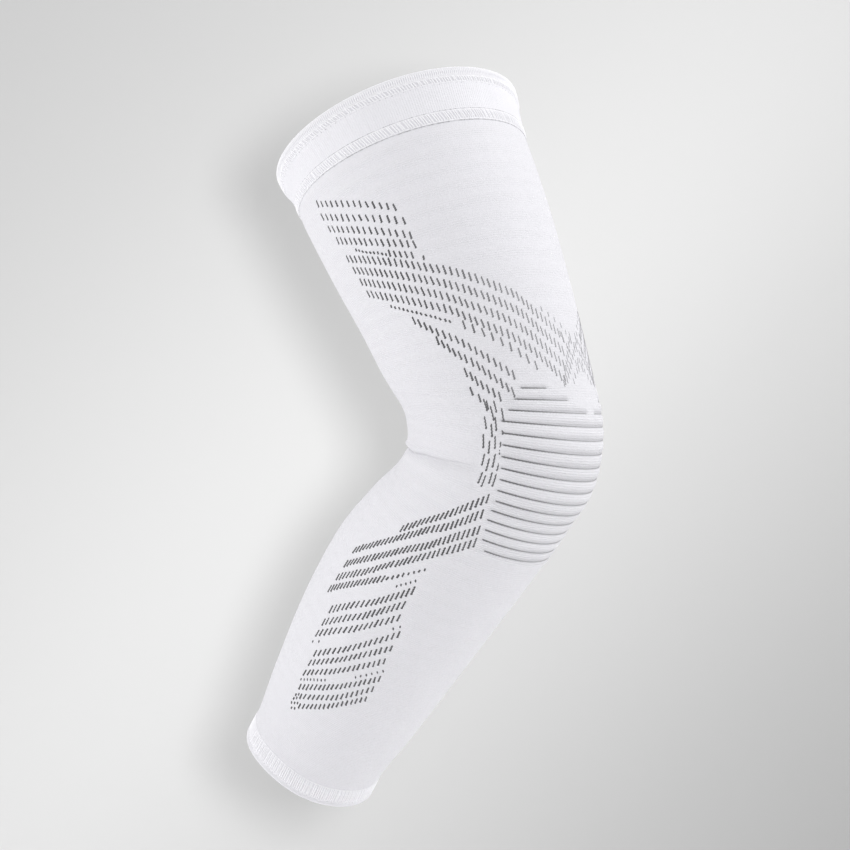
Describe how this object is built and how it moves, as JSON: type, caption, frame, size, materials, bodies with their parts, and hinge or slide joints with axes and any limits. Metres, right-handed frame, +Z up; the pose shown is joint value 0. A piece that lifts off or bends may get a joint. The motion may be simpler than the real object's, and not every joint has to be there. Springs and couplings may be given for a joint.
{
  "type": "knee compression sleeve",
  "caption": "Long knitted knee compression sleeve in its worn, bent form, open at thigh and calf, with a doubled thigh band and a calf hem.",
  "frame": {"origin": "centre of the wearer's knee, halfway between the front and back of the sleeve at the bend", "axes": "+X towards the front of the knee, +Z up, and Y across the leg; the leg's bend lies in the XZ plane"},
  "size_m": [0.2454, 0.156, 0.4551],
  "materials": {
    "knit_white": "fine elastic knit, matt with a soft sheen",
    "band_white": "fine ribbed elastic band, matt",
    "thread_white": "twisted sewing thread, soft sheen",
    "yarn_grey": "dark grey knitted-in yarn, matt"
  },
  "bodies": {
    "root": {"knit_sleeve": "knit_white", "thigh_band": "band_white", "thigh_rim_stitch": "thread_white", "band_seam_stitch": "thread_white", "calf_hem": "band_white", "hem_seam_stitch": "thread_white"}
  },
  "joints": []
}
